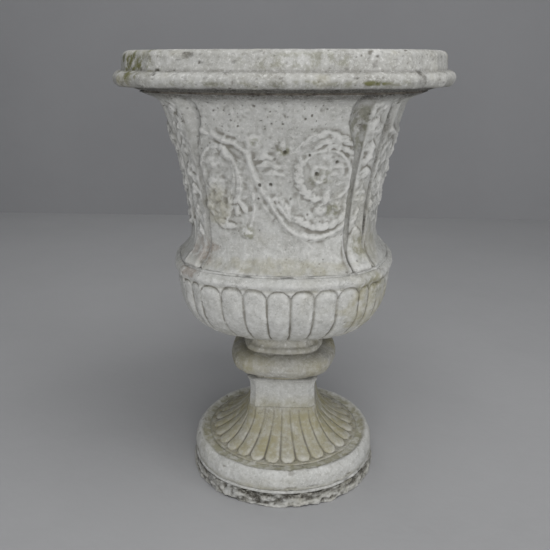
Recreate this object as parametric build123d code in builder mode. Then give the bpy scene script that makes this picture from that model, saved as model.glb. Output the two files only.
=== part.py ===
from build123d import *
import math
import os

# A tall garden urn built up from separate cast sections on one threaded rod.
# Millimetres, +Z up, origin at the centre of the underside, front face towards -Y.
# Every horizontal outline is a bowed square with canted corners. Its size is given by
# the apothem: the distance from the axis to the middle of a face.

# ---- driving dimensions ----

# heights of the joints between the sections
BASE_TOP = 27.0
PLINTH_BOTTOM = 31.0
PLINTH_TOP = 66.0
DISH_LEVEL = 63.0
FOOT_TOP = 134.0
STEM_TOP = 192.0
KNOP_TOP = 271.0
BOWL_BOTTOM = 276.0
BOWL_TOP = 425.0
BELL_BOTTOM = 428.0
BELL_TOP = 697.0
RIM_BOTTOM = 700.0
RIM_TOP = 755.0

# outline proportions, as shares of the apothem
FACE_HALF_WIDTH = 0.68
FACE_BOW = 0.155
ROUND_HALF_WIDTH = 0.66
ROUND_BOW = 0.23
STEM_HALF_WIDTH = 0.80
STEM_BOW = 0.02
KNOP_HALF_WIDTH = 0.70
KNOP_BOW = 0.14

# corner strips of the bell, as shares of the apothem
BELL_FACE_HALF_WIDTH = 0.62
STRIP_HALF_WIDTH = 0.090
STRIP_RADIUS = 1.078
GROOVE_DEPTH = 0.050

# rim: a fascia with a rounded top over a full torus
FASCIA_TOP_APOTHEM = 255.0
FASCIA_BOTTOM_APOTHEM = 257.0
FASCIA_BOTTOM = 727.0
FASCIA_ROUNDING = 9.0
TORUS_CENTRE = 716.0
TORUS_RADIUS = 11.0
TORUS_APOTHEM = 270.0
RIM_SEAT_APOTHEM = 236.0
RIM_INSIDE_TOP = 218.0
RIM_INSIDE_BOTTOM = 200.0

# knop
NECK_APOTHEM = 65.0
BEAD_APOTHEM = 70.0
BEAD_HEIGHT = 8.0
CUSHION_APOTHEM = 97.0
CUSHION_BOTTOM = 199.0
CUSHION_TOP = 241.0

# walls and floor of the pot
BOWL_FLOOR = 302.0

# pedestal core, rod and drainage
CORE_RADIUS = 36.0
BASE_HOLE_RADIUS = 34.0
ROD_RADIUS = 6.0
ROD_HOLE_RADIUS = 7.0
DRAIN_RADIUS = 6.0
DRAIN_CIRCLE_RADIUS = 26.0
DRAIN_COUNT = 4
WASHER_RADIUS = 18.0
WASHER_THICKNESS = 3.0
NUT_ACROSS_FLATS = 19.0
NUT_HEIGHT = 10.0
ROD_PROJECTION = 6.0

# ornament
GADROONS_PER_FACE = 7
GADROONS_PER_CORNER = 2
GADROON_RELIEF = 0.026
REEDS_PER_QUARTER = 7
REED_RELIEF = 0.030
REED_CORNER_REACH = 1.25

# side profiles from bottom to top: (height, apothem)
BASE_PROFILE = [(0.0, 173.0), (BASE_TOP, 172.0)]
PLINTH_PROFILE = [(PLINTH_BOTTOM, 171.0), (48.0, 169.0), (61.0, 163.0), (PLINTH_TOP, 155.0)]
DISH_APOTHEM = 149.0
FOOT_PROFILE = [
    (DISH_LEVEL, 134.0),
    (67.0, 130.0),
    (76.0, 112.0),
    (90.0, 90.0),
    (110.0, 70.0),
    (FOOT_TOP, 61.0),
]
STEM_PROFILE = [(FOOT_TOP, 62.0), (160.0, 60.0), (182.0, 61.0), (STEM_TOP, 65.0)]
BOWL_PROFILE = [
    (BOWL_BOTTOM, 68.0),
    (284.0, 92.0),
    (294.0, 115.0),
    (306.0, 138.0),
    (321.0, 157.0),
    (340.0, 171.0),
    (362.0, 179.0),
    (384.0, 182.0),
    (405.0, 182.0),
]
LEDGE_PROFILE = [(405.0, 185.0), (414.0, 189.0), (420.0, 188.0), (BOWL_TOP, 183.0)]
BOWL_HOLLOW_PROFILE = [
    (BOWL_FLOOR, 72.0),
    (312.0, 108.0),
    (330.0, 138.0),
    (362.0, 154.0),
    (395.0, 154.0),
    (BOWL_TOP, 138.0),
]
BELL_FOOT_PROFILE = [(BELL_BOTTOM, 180.0), (440.0, 168.5), (453.0, 162.0), (468.0, 160.0)]
BELL_BODY_PROFILE = [
    (468.0, 160.0),
    (510.0, 162.0),
    (552.0, 167.5),
    (594.0, 176.0),
    (636.0, 187.0),
    (676.0, 199.5),
]
BELL_TOP_PROFILE = [(676.0, 199.5), (688.0, 210.0), (BELL_TOP, 230.0)]
BELL_HOLLOW_PROFILE = [
    (BELL_BOTTOM, 138.0),
    (468.0, 134.0),
    (510.0, 136.0),
    (552.0, 141.5),
    (594.0, 150.0),
    (636.0, 161.0),
    (676.0, 174.5),
    (BELL_TOP, 198.0),
]


# ---- outlines, drawn in the BuildLine that is open ----

def turned(x, y, quarter):
    """A point turned about the axis by a number of quarter turns."""
    point = Vector(x, y)
    return point.rotate(Axis.Z, 90 * quarter)


def arc_radius(apothem, half_width, bow):
    """Radius of the arc that a bowed face follows in plan."""
    half = half_width * apothem
    rise = bow * apothem
    return (half * half + rise * rise) / (2 * rise)


def plain_outline(apothem, half_width, bow):
    """Four bowed faces joined by straight cants."""
    end_x = apothem * (1 - bow)
    end_y = apothem * half_width
    for quarter in range(4):
        face_end = turned(end_x, end_y, quarter)
        ThreePointArc(
            turned(end_x, -end_y, quarter),
            turned(apothem, 0, quarter),
            face_end,
        )
        Line(face_end, turned(end_y, end_x, quarter))


def strip_outline(apothem):
    """Bell outline: bowed faces and corner strips with a groove on each side."""
    radius = arc_radius(apothem, FACE_HALF_WIDTH, FACE_BOW)
    end_y = BELL_FACE_HALF_WIDTH * apothem
    end_x = apothem - radius + math.sqrt(radius * radius - end_y * end_y)
    diagonal = STRIP_RADIUS * apothem / math.sqrt(2)
    along = STRIP_HALF_WIDTH * apothem / math.sqrt(2)
    strip_x = diagonal + along
    strip_y = diagonal - along
    inset = GROOVE_DEPTH * apothem
    groove_x = (end_x + strip_x) / 2 - inset
    groove_y = (end_y + strip_y) / 2 - inset * 0.4
    for quarter in range(4):
        face_end = turned(end_x, end_y, quarter)
        strip_start = turned(strip_x, strip_y, quarter)
        strip_end = turned(strip_y, strip_x, quarter)
        next_face = turned(end_y, end_x, quarter)
        ThreePointArc(
            turned(end_x, -end_y, quarter),
            turned(apothem, 0, quarter),
            face_end,
        )
        ThreePointArc(face_end, turned(groove_x, groove_y, quarter), strip_start)
        Line(strip_start, strip_end)
        ThreePointArc(strip_end, turned(groove_y, groove_x, quarter), next_face)


def scalloped(points, relief):
    """Arcs through neighbouring points, each bulging outward by relief (inward if negative)."""
    for index, start in enumerate(points):
        end = points[(index + 1) % len(points)]
        middle = (start + end) * 0.5
        ThreePointArc(start, middle + middle.normalized() * relief, end)


def gadroon_outline(apothem):
    """Bowl outline: a row of outward lobes along every face and corner."""
    radius = arc_radius(apothem, FACE_HALF_WIDTH, FACE_BOW)
    end_angle = math.asin(FACE_HALF_WIDTH * apothem / radius)
    points = []
    for quarter in range(4):
        for index in range(GADROONS_PER_FACE):
            angle = end_angle * (2 * index / GADROONS_PER_FACE - 1)
            x = apothem - radius + radius * math.cos(angle)
            points.append(turned(x, radius * math.sin(angle), quarter))
        x = apothem - radius + radius * math.cos(end_angle)
        y = radius * math.sin(end_angle)
        for index in range(GADROONS_PER_CORNER):
            share = index / GADROONS_PER_CORNER
            points.append(turned(x + (y - x) * share, y + (x - y) * share, quarter))
    scalloped(points, GADROON_RELIEF * apothem)


def reed_outline(apothem, squareness):
    """Foot outline: a ring of reeds on a round plan, or on the stem's square one near its top."""
    count = 4 * REEDS_PER_QUARTER
    points = []
    for index in range(count):
        angle = 2 * math.pi * index / count
        off_face = (angle + math.pi / 4) % (math.pi / 2) - math.pi / 4
        square_reach = min(1 / math.cos(off_face), REED_CORNER_REACH)
        reach = apothem * (1 + squareness * (square_reach - 1))
        points.append(Vector(reach * math.cos(angle), reach * math.sin(angle)))
    scalloped(points, REED_RELIEF * apothem)


def washer_outline():
    """Flat washer, drawn in the BuildSketch that is open."""
    Circle(WASHER_RADIUS)
    Circle(ROD_RADIUS, mode=Mode.SUBTRACT)


def nut_outline():
    """Hexagon nut, drawn in the BuildSketch that is open."""
    RegularPolygon(NUT_ACROSS_FLATS / 2, 6, major_radius=False)
    Circle(ROD_RADIUS, mode=Mode.SUBTRACT)


os.makedirs("parts", exist_ok=True)

# ---- rim ----
with BuildPart() as rim:
    # torus and underside, full size at the torus centre
    with BuildSketch(Plane.XY.offset(TORUS_CENTRE - TORUS_RADIUS)):
        with BuildLine():
            plain_outline(TORUS_APOTHEM, FACE_HALF_WIDTH, FACE_BOW)
        make_face()
    extrude(amount=2 * TORUS_RADIUS)
    torus_edges = rim.edges().group_by(Axis.Z)[0] + rim.edges().group_by(Axis.Z)[-1]
    fillet(torus_edges, radius=TORUS_RADIUS - 0.5)
    # sloping underside that meets the bell
    for height, apothem in [(RIM_BOTTOM, RIM_SEAT_APOTHEM), (TORUS_CENTRE - 5, TORUS_APOTHEM - 8)]:
        with BuildSketch(Plane.XY.offset(height)):
            with BuildLine():
                plain_outline(apothem, FACE_HALF_WIDTH, FACE_BOW)
            make_face()
    loft()
    # fascia, a little wider at its foot
    for height, apothem in [
        (TORUS_CENTRE, FASCIA_BOTTOM_APOTHEM),
        (FASCIA_BOTTOM, FASCIA_BOTTOM_APOTHEM),
        (RIM_TOP, FASCIA_TOP_APOTHEM),
    ]:
        with BuildSketch(Plane.XY.offset(height)):
            with BuildLine():
                plain_outline(apothem, FACE_HALF_WIDTH, FACE_BOW)
            make_face()
    loft(ruled=True)
    fillet(rim.edges().group_by(Axis.Z)[-1], radius=FASCIA_ROUNDING)
    # mouth
    for height, apothem in [(RIM_BOTTOM, RIM_INSIDE_BOTTOM), (RIM_TOP, RIM_INSIDE_TOP)]:
        with BuildSketch(Plane.XY.offset(height)):
            with BuildLine():
                plain_outline(apothem, FACE_HALF_WIDTH, FACE_BOW)
            make_face()
    loft(mode=Mode.SUBTRACT)
rim.part.label = "rim"
export_step(rim.part, "parts/rim.step")

# ---- bed between rim and bell ----
with BuildPart() as rim_bed:
    with BuildSketch(Plane.XY.offset(BELL_TOP)):
        with BuildLine():
            plain_outline(RIM_SEAT_APOTHEM - 8, FACE_HALF_WIDTH, FACE_BOW)
        make_face()
        with BuildLine():
            plain_outline(RIM_INSIDE_BOTTOM + 2, FACE_HALF_WIDTH, FACE_BOW)
        make_face(mode=Mode.SUBTRACT)
    extrude(amount=RIM_BOTTOM - BELL_TOP)
rim_bed.part.label = "rim_bed"
export_step(rim_bed.part, "parts/rim_bed.step")

# ---- bell ----
with BuildPart() as bell:
    for profile in (BELL_FOOT_PROFILE, BELL_BODY_PROFILE, BELL_TOP_PROFILE):
        for height, apothem in profile:
            with BuildSketch(Plane.XY.offset(height)):
                with BuildLine():
                    strip_outline(apothem)
                make_face()
        loft()
    for height, apothem in BELL_HOLLOW_PROFILE:
        with BuildSketch(Plane.XY.offset(height)):
            with BuildLine():
                plain_outline(apothem, FACE_HALF_WIDTH, FACE_BOW)
            make_face()
    loft(mode=Mode.SUBTRACT)
bell.part.label = "bell"
export_step(bell.part, "parts/bell.step")

# ---- bed between bell and bowl ----
with BuildPart() as bell_bed:
    with BuildSketch(Plane.XY.offset(BOWL_TOP)):
        with BuildLine():
            plain_outline(BELL_FOOT_PROFILE[0][1] - 1, FACE_HALF_WIDTH, FACE_BOW)
        make_face()
        with BuildLine():
            plain_outline(BELL_HOLLOW_PROFILE[0][1] + 2, FACE_HALF_WIDTH, FACE_BOW)
        make_face(mode=Mode.SUBTRACT)
    extrude(amount=BELL_BOTTOM - BOWL_TOP)
bell_bed.part.label = "bell_bed"
export_step(bell_bed.part, "parts/bell_bed.step")

# ---- bowl ----
with BuildPart() as bowl:
    for height, apothem in BOWL_PROFILE:
        with BuildSketch(Plane.XY.offset(height)):
            with BuildLine():
                gadroon_outline(apothem)
            make_face()
    loft()
    for height, apothem in LEDGE_PROFILE:
        with BuildSketch(Plane.XY.offset(height)):
            with BuildLine():
                plain_outline(apothem, FACE_HALF_WIDTH, FACE_BOW)
            make_face()
    loft()
    for height, apothem in BOWL_HOLLOW_PROFILE:
        with BuildSketch(Plane.XY.offset(height)):
            with BuildLine():
                plain_outline(apothem, FACE_HALF_WIDTH, FACE_BOW)
            make_face()
    loft(mode=Mode.SUBTRACT)
    with BuildSketch(Plane.XY.offset(BOWL_BOTTOM)):
        Circle(ROD_HOLE_RADIUS)
        with PolarLocations(DRAIN_CIRCLE_RADIUS, DRAIN_COUNT, start_angle=45):
            Circle(DRAIN_RADIUS)
    extrude(amount=BOWL_FLOOR - BOWL_BOTTOM, mode=Mode.SUBTRACT)
bowl.part.label = "bowl"
export_step(bowl.part, "parts/bowl.step")

# ---- bed between bowl and knop ----
with BuildPart() as bowl_bed:
    with BuildSketch(Plane.XY.offset(KNOP_TOP)):
        with BuildLine():
            plain_outline(NECK_APOTHEM - 1, KNOP_HALF_WIDTH, KNOP_BOW)
        make_face()
        Circle(CORE_RADIUS + 2, mode=Mode.SUBTRACT)
    extrude(amount=BOWL_BOTTOM - KNOP_TOP)
bowl_bed.part.label = "bowl_bed"
export_step(bowl_bed.part, "parts/bowl_bed.step")

# ---- knop: neck and bead over a cushion ----
with BuildPart() as knop:
    with BuildSketch(Plane.XY.offset(STEM_TOP)):
        with BuildLine():
            plain_outline(NECK_APOTHEM, KNOP_HALF_WIDTH, KNOP_BOW)
        make_face()
    extrude(amount=KNOP_TOP - STEM_TOP)
    with BuildSketch(Plane.XY.offset(CUSHION_TOP)):
        with BuildLine():
            plain_outline(BEAD_APOTHEM, KNOP_HALF_WIDTH, KNOP_BOW)
        make_face()
    extrude(amount=BEAD_HEIGHT)
    with BuildSketch(Plane.XY.offset(CUSHION_BOTTOM)):
        with BuildLine():
            plain_outline(CUSHION_APOTHEM, KNOP_HALF_WIDTH, KNOP_BOW)
        make_face()
    extrude(amount=CUSHION_TOP - CUSHION_BOTTOM)
    cushion_rims = [
        edge
        for edge in knop.edges()
        if edge.center().Z in (CUSHION_BOTTOM, CUSHION_TOP)
        and Vector(edge.center().X, edge.center().Y).length > BEAD_APOTHEM * 1.2
    ]
    fillet(cushion_rims, radius=(CUSHION_TOP - CUSHION_BOTTOM) / 2 - 0.5)
    with BuildSketch(Plane.XY.offset(STEM_TOP)):
        Circle(CORE_RADIUS)
    extrude(amount=KNOP_TOP - STEM_TOP, mode=Mode.SUBTRACT)
knop.part.label = "knop"
export_step(knop.part, "parts/knop.step")

# ---- stem ----
with BuildPart() as stem:
    for height, apothem in STEM_PROFILE:
        with BuildSketch(Plane.XY.offset(height)):
            with BuildLine():
                plain_outline(apothem, STEM_HALF_WIDTH, STEM_BOW)
            make_face()
    loft()
    with BuildSketch(Plane.XY.offset(FOOT_TOP)):
        Circle(CORE_RADIUS)
    extrude(amount=STEM_TOP - FOOT_TOP, mode=Mode.SUBTRACT)
stem.part.label = "stem"
export_step(stem.part, "parts/stem.step")

# ---- reeded foot: square at the stem, round at the plinth ----
with BuildPart() as foot:
    for height, apothem in FOOT_PROFILE:
        squareness = (height - DISH_LEVEL) / (FOOT_TOP - DISH_LEVEL)
        with BuildSketch(Plane.XY.offset(height)):
            with BuildLine():
                reed_outline(apothem, squareness)
            make_face()
    loft()
    with BuildSketch(Plane.XY.offset(DISH_LEVEL)):
        Circle(CORE_RADIUS)
    extrude(amount=FOOT_TOP - DISH_LEVEL, mode=Mode.SUBTRACT)
foot.part.label = "foot"
export_step(foot.part, "parts/foot.step")

# ---- plinth ----
with BuildPart() as plinth:
    for height, apothem in PLINTH_PROFILE:
        with BuildSketch(Plane.XY.offset(height)):
            with BuildLine():
                plain_outline(apothem, ROUND_HALF_WIDTH, ROUND_BOW)
            make_face()
    loft(ruled=True)
    with BuildSketch(Plane.XY.offset(DISH_LEVEL)):
        with BuildLine():
            plain_outline(DISH_APOTHEM, ROUND_HALF_WIDTH, ROUND_BOW)
        make_face()
    extrude(amount=PLINTH_TOP - DISH_LEVEL, mode=Mode.SUBTRACT)
    with BuildSketch(Plane.XY.offset(PLINTH_BOTTOM)):
        Circle(ROD_HOLE_RADIUS)
        with PolarLocations(DRAIN_CIRCLE_RADIUS, DRAIN_COUNT, start_angle=45):
            Circle(DRAIN_RADIUS)
    extrude(amount=PLINTH_TOP - PLINTH_BOTTOM, mode=Mode.SUBTRACT)
plinth.part.label = "plinth"
export_step(plinth.part, "parts/plinth.step")

# ---- bed under the plinth ----
with BuildPart() as plinth_bed:
    with BuildSketch(Plane.XY.offset(BASE_TOP)):
        with BuildLine():
            plain_outline(PLINTH_PROFILE[0][1] - 4, ROUND_HALF_WIDTH, ROUND_BOW)
        make_face()
        Circle(BASE_HOLE_RADIUS + 5, mode=Mode.SUBTRACT)
    extrude(amount=PLINTH_BOTTOM - BASE_TOP)
plinth_bed.part.label = "plinth_bed"
export_step(plinth_bed.part, "parts/plinth_bed.step")

# ---- base slab ----
with BuildPart() as base_slab:
    for height, apothem in BASE_PROFILE:
        with BuildSketch(Plane.XY.offset(height)):
            with BuildLine():
                plain_outline(apothem, ROUND_HALF_WIDTH, ROUND_BOW)
            make_face()
    loft(ruled=True)
    with BuildSketch():
        Circle(BASE_HOLE_RADIUS)
    extrude(amount=BASE_TOP, mode=Mode.SUBTRACT)
base_slab.part.label = "base_slab"
export_step(base_slab.part, "parts/base_slab.step")

# ---- tie rod, washers and nuts ----
ROD_TOP = BOWL_FLOOR + WASHER_THICKNESS + NUT_HEIGHT + ROD_PROJECTION
ROD_BOTTOM = PLINTH_BOTTOM - WASHER_THICKNESS - NUT_HEIGHT - ROD_PROJECTION
with BuildPart() as tie_rod:
    with BuildSketch(Plane.XY.offset(ROD_BOTTOM)):
        Circle(ROD_RADIUS)
    extrude(amount=ROD_TOP - ROD_BOTTOM)
    rod_ends = tie_rod.edges().group_by(Axis.Z)[0] + tie_rod.edges().group_by(Axis.Z)[-1]
    chamfer(rod_ends, length=1.0)
tie_rod.part.label = "tie_rod"
export_step(tie_rod.part, "parts/tie_rod.step")

# ---- washers ----
with BuildPart() as top_washer:
    with BuildSketch(Plane.XY.offset(BOWL_FLOOR)):
        washer_outline()
    extrude(amount=WASHER_THICKNESS)
top_washer.part.label = "top_washer"
export_step(top_washer.part, "parts/top_washer.step")

with BuildPart() as bottom_washer:
    with BuildSketch(Plane.XY.offset(PLINTH_BOTTOM - WASHER_THICKNESS)):
        washer_outline()
    extrude(amount=WASHER_THICKNESS)
bottom_washer.part.label = "bottom_washer"
export_step(bottom_washer.part, "parts/bottom_washer.step")

# ---- nuts ----
with BuildPart() as top_nut:
    with BuildSketch(Plane.XY.offset(BOWL_FLOOR + WASHER_THICKNESS)):
        nut_outline()
    extrude(amount=NUT_HEIGHT)
top_nut.part.label = "top_nut"
export_step(top_nut.part, "parts/top_nut.step")

with BuildPart() as bottom_nut:
    with BuildSketch(Plane.XY.offset(PLINTH_BOTTOM - WASHER_THICKNESS - NUT_HEIGHT)):
        nut_outline()
    extrude(amount=NUT_HEIGHT)
bottom_nut.part.label = "bottom_nut"
export_step(bottom_nut.part, "parts/bottom_nut.step")
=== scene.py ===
import math

import bpy
import numpy as np
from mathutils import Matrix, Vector


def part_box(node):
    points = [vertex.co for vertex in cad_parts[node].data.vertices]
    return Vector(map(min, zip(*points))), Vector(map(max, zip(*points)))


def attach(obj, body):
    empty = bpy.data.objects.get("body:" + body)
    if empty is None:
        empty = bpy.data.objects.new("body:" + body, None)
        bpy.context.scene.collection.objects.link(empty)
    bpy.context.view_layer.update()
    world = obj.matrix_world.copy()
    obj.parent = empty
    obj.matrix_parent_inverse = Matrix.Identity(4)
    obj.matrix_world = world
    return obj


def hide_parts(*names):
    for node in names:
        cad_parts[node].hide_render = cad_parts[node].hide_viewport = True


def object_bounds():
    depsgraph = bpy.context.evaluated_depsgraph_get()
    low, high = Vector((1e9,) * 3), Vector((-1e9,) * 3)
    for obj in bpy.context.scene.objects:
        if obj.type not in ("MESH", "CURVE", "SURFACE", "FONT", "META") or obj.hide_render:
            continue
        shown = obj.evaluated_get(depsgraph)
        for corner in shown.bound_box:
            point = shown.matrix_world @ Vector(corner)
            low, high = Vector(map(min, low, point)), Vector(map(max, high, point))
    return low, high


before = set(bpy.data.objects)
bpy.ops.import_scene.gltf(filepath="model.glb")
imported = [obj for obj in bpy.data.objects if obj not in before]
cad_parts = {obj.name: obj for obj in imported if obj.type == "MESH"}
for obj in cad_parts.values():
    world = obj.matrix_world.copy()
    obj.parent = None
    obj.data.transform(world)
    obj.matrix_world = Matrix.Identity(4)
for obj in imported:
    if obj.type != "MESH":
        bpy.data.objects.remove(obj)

# A worn, limewashed garden urn. The urn is worked out in millimetres and written in metres.
# The floor, the lights and the camera are placed in metres.
# Horizontal outlines are bowed squares with canted corners, sized by their apothem.

MM = 0.001
cad_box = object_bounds()


def extent(node):
    """Bottom, top and half width of a CAD node, in millimetres."""
    low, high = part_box(node)
    return low[2] / MM, high[2] / MM, max(high[0], high[1]) / MM


# ---- outlines ----

FACE_HALF_WIDTH = 0.68
FACE_BOW = 0.155
ROUND_HALF_WIDTH = 0.66
ROUND_BOW = 0.23
STEM_HALF_WIDTH = 0.80
STEM_BOW = 0.02
KNOP_HALF_WIDTH = 0.70
KNOP_BOW = 0.14
BELL_FACE_HALF_WIDTH = 0.645
BELL_TOP_FACE_HALF_WIDTH = 0.545
STRIP_HALF_WIDTH = 0.090
STRIP_RADIUS = 1.078
GROOVE_DEPTH = 0.050

# sizes of the hollows and holes, as in the CAD
CORE_RADIUS = 36
BASE_HOLE_RADIUS = 34
ROD_HOLE_RADIUS = 7
FLOOR_THICKNESS = 26
DRAIN_CIRCLE_RADIUS = 26
DRAIN_RADIUS = 6.0
DRAIN_DEPTH = 22

FACE_COLUMNS = 150
GROOVE_COLUMNS = 12
STRIP_COLUMNS = 22


def bowed_face(count, half_width, bow, shown):
    """Points over one face, out to the share shown of the apothem either side."""
    radius = (half_width ** 2 + bow ** 2) / (2 * bow)
    end = math.asin(shown / radius)
    angle = np.linspace(-end, end, count, endpoint=False)
    return np.stack([1 - radius + radius * np.cos(angle), radius * np.sin(angle)], axis=1)


def along_line(start, end, count):
    share = np.linspace(0, 1, count, endpoint=False)[:, None]
    return np.asarray(start) * (1 - share) + np.asarray(end) * share


def turned(outline, angle):
    x, y = outline[..., 0], outline[..., 1]
    cos, sin = math.cos(angle), math.sin(angle)
    return np.stack([x * cos - y * sin, x * sin + y * cos], axis=-1)


def four_quarters(quarter):
    """A quarter outline repeated round the axis. The first face looks towards -Y."""
    parts = []
    for turn in range(4):
        angle = math.pi / 2 * (turn - 1)
        parts.append(turned(quarter, angle))
    return np.concatenate(parts)


def plain_plan(half_width, bow, face_columns, corner_columns):
    face = bowed_face(face_columns, half_width, bow, half_width)
    end = (1 - bow, half_width)
    cant = along_line(end, end[::-1], corner_columns)
    return four_quarters(np.concatenate([face, cant]))


def strip_plan(face_half_width, groove_depth):
    """Bell outline with a corner strip between two grooves."""
    face = bowed_face(FACE_COLUMNS, FACE_HALF_WIDTH, FACE_BOW, face_half_width)
    radius = (FACE_HALF_WIDTH ** 2 + FACE_BOW ** 2) / (2 * FACE_BOW)
    end_x = 1 - radius + math.sqrt(radius ** 2 - face_half_width ** 2)
    diagonal = STRIP_RADIUS / math.sqrt(2)
    along = STRIP_HALF_WIDTH / math.sqrt(2)
    strip_x = diagonal + along
    strip_y = diagonal - along
    share = np.linspace(0, 1, GROOVE_COLUMNS, endpoint=False)
    sink = groove_depth * np.sin(np.pi * share)
    groove = np.stack(
        [
            end_x + (strip_x - end_x) * share - sink,
            face_half_width + (strip_y - face_half_width) * share - sink * 0.4,
        ],
        axis=1,
    )
    strip = along_line((strip_x, strip_y), (strip_y, strip_x), STRIP_COLUMNS)
    other_groove = np.concatenate([[[strip_y, strip_x]], groove[:0:-1, ::-1]])
    return four_quarters(np.concatenate([face, groove, strip, other_groove]))


QUARTER_COLUMNS = FACE_COLUMNS + 2 * GROOVE_COLUMNS + STRIP_COLUMNS


def bell_coordinates():
    """For each column: across the face (-1 to 1), across the strip (-1 to 1), in face, in strip."""
    across = np.zeros(QUARTER_COLUMNS)
    strip = np.zeros(QUARTER_COLUMNS)
    in_face = np.zeros(QUARTER_COLUMNS)
    in_strip = np.zeros(QUARTER_COLUMNS)
    across[:FACE_COLUMNS] = np.linspace(-1, 1, FACE_COLUMNS, endpoint=False)
    in_face[:FACE_COLUMNS] = 1
    first = FACE_COLUMNS + GROOVE_COLUMNS
    strip[first:first + STRIP_COLUMNS] = np.linspace(-1, 1, STRIP_COLUMNS)
    in_strip[first:first + STRIP_COLUMNS] = 1
    return [np.tile(values, 4) for values in (across, strip, in_face, in_strip)]


# ---- profiles ----

def smooth_curve(points, spacing):
    """A smooth line through (apothem, height) points, resampled at even spacing."""
    knots = np.asarray(points, float)
    padded = np.concatenate([[2 * knots[0] - knots[1]], knots, [2 * knots[-1] - knots[-2]]])
    samples = []
    for i in range(len(knots) - 1):
        a, b, c, d = padded[i:i + 4]
        share = np.linspace(0, 1, 24, endpoint=False)[:, None]
        samples.append(
            0.5 * (2 * b + (c - a) * share + (2 * a - 5 * b + 4 * c - d) * share ** 2
                   + (3 * b - a - 3 * c + d) * share ** 3)
        )
    line = np.concatenate(samples + [knots[-1:]])
    return even(line, spacing)


def straight(points, spacing):
    return even(np.asarray(points, float), spacing)


def arc(centre, radius, start, end, spacing):
    """Part of a circle in the profile, angles in degrees from outward, anticlockwise."""
    count = max(3, int(abs(math.radians(end - start)) * radius / spacing) + 1)
    angle = np.radians(np.linspace(start, end, count))
    return np.stack([centre[0] + radius * np.cos(angle), centre[1] + radius * np.sin(angle)], axis=1)


def even(line, spacing):
    length = np.concatenate([[0], np.cumsum(np.linalg.norm(np.diff(line, axis=0), axis=1))])
    count = max(2, int(length[-1] / spacing) + 1)
    where = np.linspace(0, length[-1], count)
    return np.stack([np.interp(where, length, line[:, 0]), np.interp(where, length, line[:, 1])], axis=1)


def joined(*lines):
    """Lines run end to end, without doubled points."""
    points = [lines[0][0]]
    for line in lines:
        for point in line:
            if np.hypot(*(point - points[-1])) > 0.2:
                points.append(point)
    if np.hypot(*(points[0] - points[-1])) < 0.2:
        points.pop()
    return np.array(points)


# ---- noise ----

def smoothstep(value, low, high):
    share = np.clip((value - low) / (high - low), 0, 1)
    return share * share * (3 - 2 * share)


def hashed(x, y, z, seed):
    """Repeatable random number from -1 to 1 for each lattice point."""
    scrambled = x * 374761393 + y * 668265263 + z * 2147483647 + seed * 1274126177
    scrambled = (scrambled ^ (scrambled >> 13)) & 0xFFFFFFFF
    scrambled = (scrambled * 1274126177) & 0xFFFFFFFF
    scrambled = (scrambled ^ (scrambled >> 16)) & 0xFFFF
    return scrambled / 32767.5 - 1


def noise(points, size, seed):
    """Smooth noise from -1 to 1 with lumps of about the given size."""
    scaled = points / size
    cell = np.floor(scaled).astype(np.int64)
    part = scaled - cell
    part = part * part * (3 - 2 * part)
    total = 0
    for corner in range(8):
        step = np.array([corner & 1, corner >> 1 & 1, corner >> 2 & 1])
        weight = np.prod(np.where(step, part, 1 - part), axis=-1)
        at = cell + step
        total = total + weight * hashed(at[..., 0], at[..., 1], at[..., 2], seed)
    return total


def fractal(points, size, octaves, seed):
    total = 0
    for octave in range(octaves):
        total = total + noise(points, size / 2 ** octave, seed + octave) / 2 ** octave
    return total


def craters(points, cell_size, radius, chance, seed):
    """Depth from 0 to 1 of round pits, at most one to each lattice cell."""
    scaled = points / cell_size
    cell = np.floor(scaled).astype(np.int64)
    depth = np.zeros(points.shape[:-1])
    for corner in range(27):
        step = np.array([corner % 3 - 1, corner // 3 % 3 - 1, corner // 9 - 1])
        at = cell + step
        x, y, z = at[..., 0], at[..., 1], at[..., 2]
        centre = np.stack([hashed(x, y, z, seed + k) * 0.4 + 0.5 for k in range(3)], axis=-1)
        size = radius * (0.65 + 0.35 * hashed(x, y, z, seed + 4))
        there = (hashed(x, y, z, seed + 3) * 0.5 + 0.5) < chance
        gap = np.linalg.norm((scaled - at - centre) * cell_size, axis=-1)
        pit = np.where(there, 1 - smoothstep(gap, size * 0.55, size), 0)
        depth = np.maximum(depth, pit)
    return depth


def blurred(grid, rows, columns):
    """Box blur of a grid that closes on itself both ways, run twice."""
    for _ in range(2):
        for axis, reach in ((0, rows), (1, columns)):
            total = grid.copy()
            for shift in range(1, reach + 1):
                total = total + np.roll(grid, shift, axis) + np.roll(grid, -shift, axis)
            grid = total / (2 * reach + 1)
    return grid


# ---- relief strokes ----

def path(points, step=2.0):
    """A smooth line through (across, up) points."""
    return smooth_curve(points, step)


def nearest(u, v, line):
    """Distance to a line and the share of the way along it, at each point."""
    best = np.full(u.shape, 1e9)
    share = np.zeros(u.shape)
    for index, (x, y) in enumerate(line):
        gap = (u - x) ** 2 + (v - y) ** 2
        closer = gap < best
        best = np.where(closer, gap, best)
        share = np.where(closer, index / (len(line) - 1), share)
    return np.sqrt(best), share


def dome(distance, width):
    return np.sqrt(np.clip(1 - (distance / width) ** 2, 0, 1))


def vine(u, v, points, width, height, taper=0.0):
    """A raised stalk: a narrow cord on a low swell."""
    distance, share = nearest(u, v, path(points))
    reach = width * (1 - taper * share)
    return height * (0.50 * dome(distance, reach) ** 1.3 + 0.50 * dome(distance, 0.42 * reach))


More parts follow.
